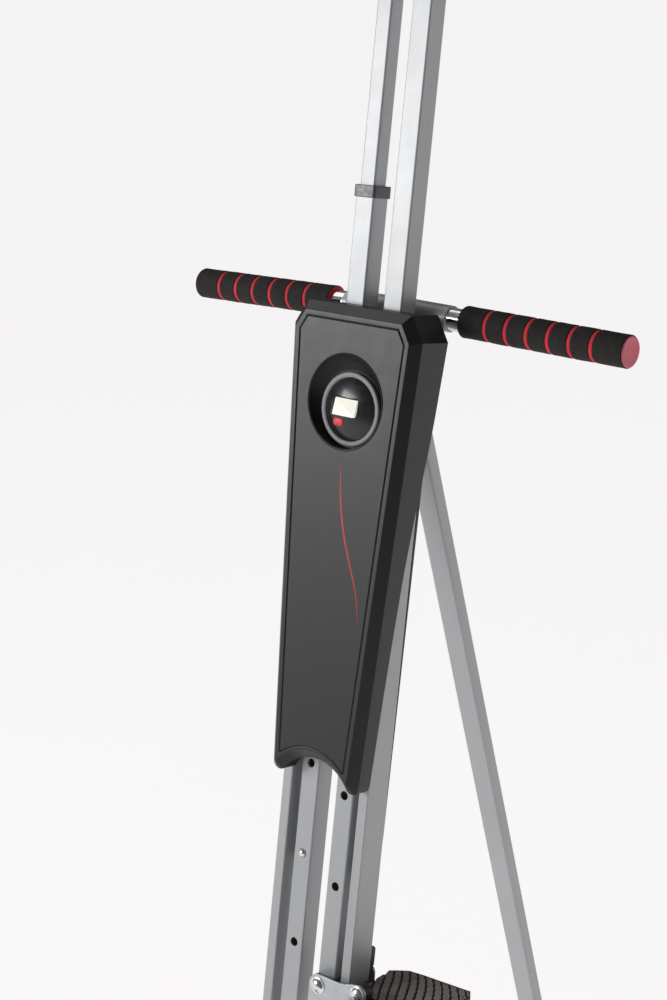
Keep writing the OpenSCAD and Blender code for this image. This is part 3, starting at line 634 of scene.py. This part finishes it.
def plate(name, outline, front, back, edge, slot, replaced=(), body="frame", tilt=0):
    """Flat plate facing the user with a rounded front edge; tilt is how fast it recedes upwards."""
    cx = sum(p[0] for p in outline) / len(outline)
    cz = sum(p[1] for p in outline) / len(outline)
    reach = max(math.hypot(x - cx, z - cz) for x, z in outline)

    def shrunk(inset):
        f = 1 - inset / reach
        return [(cx + (x - cx) * f, cz + (z - cz) * f) for x, z in outline]

    rings = [[(x, back, z) for x, z in outline], [(x, front + edge, z) for x, z in outline],
             [(x, front + edge * 0.3, z) for x, z in shrunk(edge * 0.3)],
             [(x, front, z) for x, z in shrunk(edge)]]
    points, faces = strip_of_rings(rings, closed=False)
    points = [(x, y + tilt * (z - cz), z) for x, y, z in points]
    count = len(outline)
    faces += [list(range(count))[::-1], [len(points) - count + k for k in range(count)]]
    return dress(from_lists(name, points, faces, sharp=50), body, slot, replaced)


def console_case():
    """Glossy dome on a short round neck."""
    profile = [(-18, 0), (-18, 29.6), (0, 29.6), (0, CASE_R)]
    steps = 24
    for k in range(steps + 1):
        radius = CASE_R * math.cos(math.pi / 2 * k / steps)
        rise = math.sqrt(BALL_R ** 2 - radius ** 2) - BALL_BACK
        profile.append((max(rise, 0.5), radius))
    points, faces = turned(profile, 96)
    dome = from_lists("console_dome", on_bowl(points), faces, sharp=50)
    return dress(dome, "frame", "console_gloss", ["console_case"])


def display():
    front = BOWL_Y - dome_height(*LCD) - 1.3
    bezel = rounded_box((LCD_HALF[0] + 1.8, LCD_HALF[1] + 1.6), 2, (LCD[0] - 2.2, LCD[1]))
    plate("console_bezel", bezel, front, front + 7, 1.2, "console_gloss", tilt=LCD_TILT)
    glass = rounded_box(LCD_HALF, 0.8, LCD)
    plate("console_display", glass, front - 0.25, front + 3, 0.3, "lcd", ["console_lcd"], tilt=LCD_TILT)
    segments = []
    bars = [(0, 2.8, 2, 0.45), (0, -2.8, 2, 0.45)]
    bars += [(dx, dz, 0.45, 2.2) for dx in (-1.2, 1.2) for dz in (1.4, -1.4)]
    for digit in range(3):
        for dx, dz, w, h in bars:
            cx, cz = LCD[0] + 1.5 + digit * 4.2 + dx, LCD[1] + 1 + dz
            box = [(cx + sx * w / 2, cz + sz * h / 2) for sx, sz in ((-1, -1), (1, -1), (1, 1), (-1, 1))]
            rings = [[(x, front + y + LCD_TILT * (z - LCD[1]), z) for x, z in box] for y in (-0.3, -0.1)]
            points, faces = strip_of_rings(rings, closed=False)
            segments.append((points, faces + [[0, 1, 2, 3], [7, 6, 5, 4]]))
    points, faces = joined(segments)
    dress(from_lists("console_digits", points, faces), "frame", "lcd", material=DIGIT_GREY)


def console_button():
    outline = rounded_box(BUTTON_HALF, 4.5, BUTTON, 8)
    front = BOWL_Y - dome_height(*BUTTON) - 1.6
    return plate("console_button_cap", outline, front, front + 8, 1.4, "red_button", ["console_button"],
                 "button")


console_dish()
console_ring()
console_case()
display()
console_button()


# ---- Grips ----
def foam_length(start, end, inner, outer, edge=0.9):
    """Closed profile of one length of foam, with rounded outer corners and a slightly uneven side."""
    profile = [(start, inner), (start, outer - edge)]
    profile += [(start + edge * (1 - math.cos(a)), outer - edge + edge * math.sin(a))
                for a in (math.radians(d) for d in (30, 60, 90))]
    count = max(int((end - start) / 3), 2)
    profile += [(start + edge + (end - start - 2 * edge) * k / count, outer) for k in range(1, count)]
    profile += [(end - edge * (1 - math.cos(a)), outer - edge + edge * math.sin(a))
                for a in (math.radians(d) for d in (90, 60, 30))]
    return profile + [(end, outer - edge), (end, inner)]


def uneven(points, amount):
    """Moves points out and in by slow noise, as foam does."""
    moved = []
    for x, y, z in points:
        swell = 1 + amount * noise.noise(Vector((x, y, z)) * 0.09) / max(math.hypot(y, z), 1)
        moved.append((x, y * swell, z * swell))
    return moved


TUBE_R, CORE_R, FOAM_R = 12.5, 14.8, 17.15
GRIP_IN, GRIP_OUT, RING_PITCH = 91, 295, 26.5
RING_HALF = 2
FOAM_SWELL = 0.25
BAR_DROOP = math.radians(1)
PLUG_DEPTH, PLUG_R = 16, TUBE_R - 1.6


def grip(name, body, place, start, end, rings, foam_nodes, core_nodes, sign):
    """Foam grip along x: black foam in lengths, with the red core in the gaps and at both ends."""
    stops = [start] + [x + s * RING_HALF for x in rings for s in (-1, 1)] + [end]
    lengths = []
    for k in range(0, len(stops), 2):
        points, faces = turned(foam_length(stops[k], stops[k + 1], CORE_R, FOAM_R), 72, closed=True)
        lengths.append((uneven(points, FOAM_SWELL), faces))
    points, faces = joined(lengths)
    points = [(x * sign, y, z) for x, y, z in points]
    foam = from_lists(name + "_foam", points, faces, place, sharp=60)
    dress(foam, body, "grip_foam", foam_nodes)
    profile = [(start - 0.3, TUBE_R), (start - 0.3, FOAM_R - 1.2), (start, FOAM_R - 0.9),
               (start + 1, FOAM_R - 0.9), (start + 1, CORE_R)]
    for x in rings:
        half_ring = [(-RING_HALF, CORE_R), (-RING_HALF, FOAM_R - 0.8), (-RING_HALF * 0.5, FOAM_R - 0.45)]
        profile += [(x + dx, r) for dx, r in half_ring]
        profile += [(x - dx, r) for dx, r in reversed(half_ring)]
    profile += [(end - 0.6, CORE_R), (end - 0.6, TUBE_R)]
    points, faces = turned(profile, 72, closed=True)
    points = [(x * sign, y, z) for x, y, z in points]
    core = from_lists(name + "_core", points, faces, place, sharp=40)
    dress(core, body, "red_foam", core_nodes)


def end_plug(name, body, place, end, replaced, sign):
    """Moulded plug with a flange over the grip's end."""
    flange = FOAM_R - 0.9
    profile = [(end - PLUG_DEPTH, 0), (end - PLUG_DEPTH, PLUG_R), (end - 0.3, PLUG_R),
               (end - 0.3, flange - 0.2), (end + 0.5, flange), (end + 1, flange - 0.5),
               (end + 1.2, flange - 1.4), (end + 1, flange - 2.6), (end + 0.9, 3), (end + 0.9, 0)]
    points, faces = turned(profile, 72)
    plug = from_lists(name, [(x * sign, y, z) for x, y, z in points], faces, place, sharp=40)
    dress(plug, body, "red_plug", replaced)


bar_rings = [(GRIP_IN + GRIP_OUT) / 2 - 1 + RING_PITCH * (k - 2.5) for k in range(6)]
for side, sign in (("right", 1), ("left", -1)):
    place = at_bar @ Matrix.Rotation(sign * BAR_DROOP, 4, "Y")
    shown = sign == 1
    grip(side + "_grip", "frame", place, GRIP_IN, GRIP_OUT, bar_rings, ["grip_foams"] if shown else [],
         ["grip_cores"] if shown else [], sign)
    end_plug(side + "_end_plug", "frame", place, GRIP_OUT, ["handlebar_plugs"] if shown else [], sign)
    node = side + "_top_grip"
    low, high = column_box(node)
    start, end = sorted(abs(x) for x in (low[0], high[0]))
    place = COLUMN @ Matrix.Translation((0, (low[1] + high[1]) / 2 * MM, (low[2] + high[2]) / 2 * MM))
    hand_rings = [(start + end) / 2 + RING_PITCH * (k - 1.5) for k in range(4)]
    grip(side + "_hand", side + "_handle", place, start, end, hand_rings, [node], [], sign)
    end_plug(side + "_hand_plug", side + "_handle", place, end, [], sign)


# ---- Pedals ----
PEDAL_TOP, PEDAL_T = -6, 26
SLAB_Z = -14.3
TREAD_H = 1.7
GROOVE_PITCH, GROOVE_HALF, GROOVE_SHIFT = 11.6, 1.45, 3.5
BANDS = range(-8, 30)
# The grooves swing about a slope, once in each run along y
RUN_MIDDLE, RUN = 20, 100
SLOPE, SWING = 0.55, 0.6
SWING_CUBE = 3 * (RUN / 2) ** 2
TREAD_START, TREAD_STEP, TREAD_STEPS = -222, 4.4, 70
JAG = 0.35
SHOE = [(66, -206), (80, -216), (156, -216), (168, -204), (168, 66), (164, 71.5), (137, 68.5), (104, 65),
        (85, 62), (74, 54), (66, 47)]
SHOE_INNER, SHOE_REAR = 66, 71.5
REAR_CORNERS = range(4, 11)
NOTCH_X = 94.8
TOP_NOTCH, SKIRT_NOTCH = (-38, -11.8), (-40.5, 35)


def notched(y0, y1):
    """The pedal's outline with a notch in its inner side from y0 to y1."""
    return SHOE + [(SHOE_INNER, y1), (NOTCH_X, y1), (NOTCH_X, y0), (SHOE_INNER, y0)]


def prism(outline, z0, z1, sign):
    points = [(x * sign, y, z) for z in (z0, z1) for x, y in outline]
    count = len(outline)
    faces = [[k, (k + 1) % count, count + (k + 1) % count, count + k] for k in range(count)]
    return points, faces + [list(range(count))[::-1], [count + k for k in range(count)]]


def inset(outline, amount):
    """The outline moved in by an amount; its corners go round anticlockwise."""
    moved = []
    for before, here, after in zip(outline[-1:] + outline[:-1], outline, outline[1:] + outline[:1]):
        moved.append(meeting(edge_line(before, here, amount), edge_line(here, after, amount)))
    return moved


def groove_x(y):
    """How far a groove has moved across at y: steeper and shallower in turn."""
    runs = round((y - RUN_MIDDLE) / RUN)
    d = y - RUN_MIDDLE - runs * RUN
    step = -SLOPE * RUN - SWING * 2 * (RUN / 2) ** 3 / SWING_CUBE
    return step * runs - SLOPE * d - SWING * d ** 3 / SWING_CUBE


def tread(start, sign, base):
    """Band between two grooves, with small jagged steps along its sides."""
    rings = []
    half = GROOVE_PITCH / 2 - GROOVE_HALF
    for k in range(TREAD_STEPS):
        y = TREAD_START + k * TREAD_STEP
        jag = JAG if k % 2 else -JAG
        for shift in (-jag, jag):
            cx = start + groove_x(y) + shift
            rings.append([(sign * (cx + dx), y + (0.02 if shift == jag else 0), base + dz) for dx, dz in (
                (-half, -0.6), (-half + 0.1, TREAD_H - 0.6), (-half + 0.7, TREAD_H),
                (half - 0.7, TREAD_H), (half - 0.1, TREAD_H - 0.6), (half, -0.6))])
    points, faces = strip_of_rings(rings, closed=False)
    width = len(rings[0])
    return points, faces + [list(range(width))[::-1], [len(points) - width + k for k in range(width)]]


def pedal(side):
    node = side + "_pedal"
    _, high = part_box(node)
    sign = 1 if side == "right" else -1
    place = Matrix.Translation((0, high.y - SHOE_REAR * MM, high.z - PEDAL_TOP * MM))
    base_top = PEDAL_TOP - TREAD_H
    top = notched(*TOP_NOTCH)
    for name, outline, z0, z1 in (("_slab", top, SLAB_Z, base_top),
                                  ("_skirt", notched(*SKIRT_NOTCH), PEDAL_TOP - PEDAL_T, SLAB_Z + 0.5)):
        points, faces = prism(outline, z0, z1, sign)
        base = from_lists(node + name, points, faces, place)
        rounded_edges(base, 1.2, 3)
        # The slab and skirt carry the painted groove shade
        dress(base, side + "_post", "pedal_plastic", [node] if name == "_slab" else [], GROOVE_SHADE_BROWN)
    bands = [tread(GROOVE_PITCH * k + GROOVE_SHIFT, sign, base_top) for k in BANDS]
    points, faces = joined(bands)
    treads = from_lists(node + "_tread", points, faces, place, sharp=25)
    points, faces = prism(inset(top, 1), base_top - 0.5, PEDAL_TOP + 1, sign)
    clip = from_lists(node + "_clip", points, faces, place)
    cutter = treads.modifiers.new("clip", "BOOLEAN")
    cutter.operation = "INTERSECT"
    cutter.solver = "EXACT"
    cutter.object = clip
    bpy.context.view_layer.update()
    apply_modifiers(treads)
    bpy.data.objects.remove(clip)
    dress(treads, side + "_post", "pedal_plastic")
    rear = [top[k] for k in REAR_CORNERS] + [inset(top, 1.1)[k] for k in reversed(REAR_CORNERS)]
    points, faces = prism(rear, SLAB_Z, PEDAL_TOP + 0.2, sign)
    rim = from_lists(node + "_rim", points, faces, place)
    dress(rim, side + "_post", "pedal_plastic", material=RIM_BROWN)


pedal("right")
pedal("left")

# ---- Floor and light ----
FLOOR_R = 80
FLOOR_GLOW = 0.89
# The floor glows less from GLOW_ENDS metres towards the camera's side, so that the cover's bevels
# reflect something dark
GLOW_AWAY, GLOW_ENDS = (0.68, -0.73, 0), (2.2, 4.5)
floor_shape = bmesh.new()
bmesh.ops.create_circle(floor_shape, cap_ends=True, segments=96, radius=FLOOR_R)
floor = from_bmesh("floor", floor_shape, Matrix.Translation((0, 0, -0.0005)))
floor_paint = bpy.data.materials.new("floor_paint")
floor_paint.use_nodes = True
floor_tree = floor_paint.node_tree
floor_shader = floor_tree.nodes["Principled BSDF"]
floor_shader.inputs["Roughness"].default_value = 0.9
floor_shader.inputs["Specular IOR Level"].default_value = 0
floor_shader.inputs["Emission Strength"].default_value = 1
floor_tone = mixed(floor_tree, grain(floor_tree, 3), (0.14, 0.137, 0.137, 1), (0.16, 0.157, 0.157, 1))
floor_tree.links.new(floor_tone, floor_shader.inputs["Base Color"])
floor_place = put(floor_tree, "ShaderNodeTexCoord").outputs["Object"]
away = put(floor_tree, "ShaderNodeVectorMath", {0: floor_place, 1: GLOW_AWAY}, operation="DOT_PRODUCT")
floor_glow = spread(floor_tree, away.outputs["Value"], 0, 1, *GLOW_ENDS)
bright, dark = (FLOOR_GLOW, FLOOR_GLOW * 0.985, FLOOR_GLOW * 0.985, 1), (0.15, 0.15, 0.15, 1)
floor_tree.links.new(mixed(floor_tree, floor_glow, bright, dark), floor_shader.inputs["Emission Color"])
floor.data.materials.append(floor_paint)


def softbox(name, place, target, width, height, power):
    light = bpy.data.lights.new(name, "AREA")
    light.shape = "RECTANGLE"
    light.size = width
    light.size_y = height
    light.energy = power
    box = bpy.data.objects.new(name, light)
    bpy.context.scene.collection.objects.link(box)
    box.location = place
    box.rotation_euler = (Vector(target) - Vector(place)).to_track_quat("-Z", "Y").to_euler()


softbox("key_light", (-2.3, -2.6, 1.8), (0, 0.15, 1.3), 1.8, 1.3, 72)
softbox("top_light", (-1.9, 0.1, 3.7), (0, 0.2, 1.2), 2.2, 2.2, 18)
softbox("rim_light", (2.6, 2.2, 2.2), (0, 0.1, 1.0), 1.2, 2.0, 8)

world = bpy.data.worlds.new("world")
bpy.context.scene.world = world
world.use_nodes = True
world.node_tree.nodes["Background"].inputs["Color"].default_value = (1, 1, 1, 1)
world.node_tree.nodes["Background"].inputs["Strength"].default_value = 0.12
bpy.context.scene.view_settings.view_transform = "Standard"
